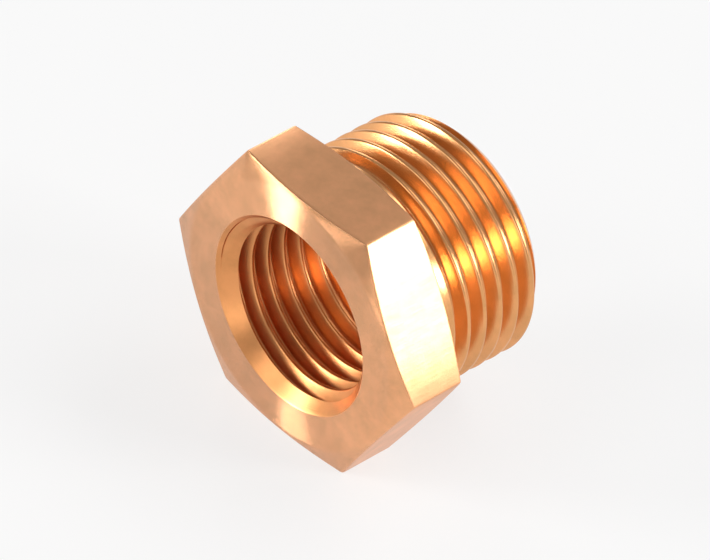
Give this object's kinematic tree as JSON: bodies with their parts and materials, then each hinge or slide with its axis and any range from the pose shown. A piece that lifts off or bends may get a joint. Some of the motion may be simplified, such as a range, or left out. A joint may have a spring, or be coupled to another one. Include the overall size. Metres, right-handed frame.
{
  "type": "hex bushing",
  "caption": "Brass reducing hex bushing: a hexagon head on a male parallel pipe thread, with a smaller female pipe thread tapped right through the bore.",
  "frame": {"origin": "on the bore axis, in the plane of the shoulder under the head; a flat of the hexagon faces down, 9.5 mm below", "axes": "+Y along the bore axis, from the head towards the male end; +X towards a corner of the hexagon; +Z square to the hexagon's top and bottom flats"},
  "size_m": [0.022, 0.014, 0.019],
  "materials": {
    "turned_brass": "bright machined brass with fine turning marks"
  },
  "bodies": {
    "root": {"hex_bushing": "turned_brass"}
  },
  "joints": []
}
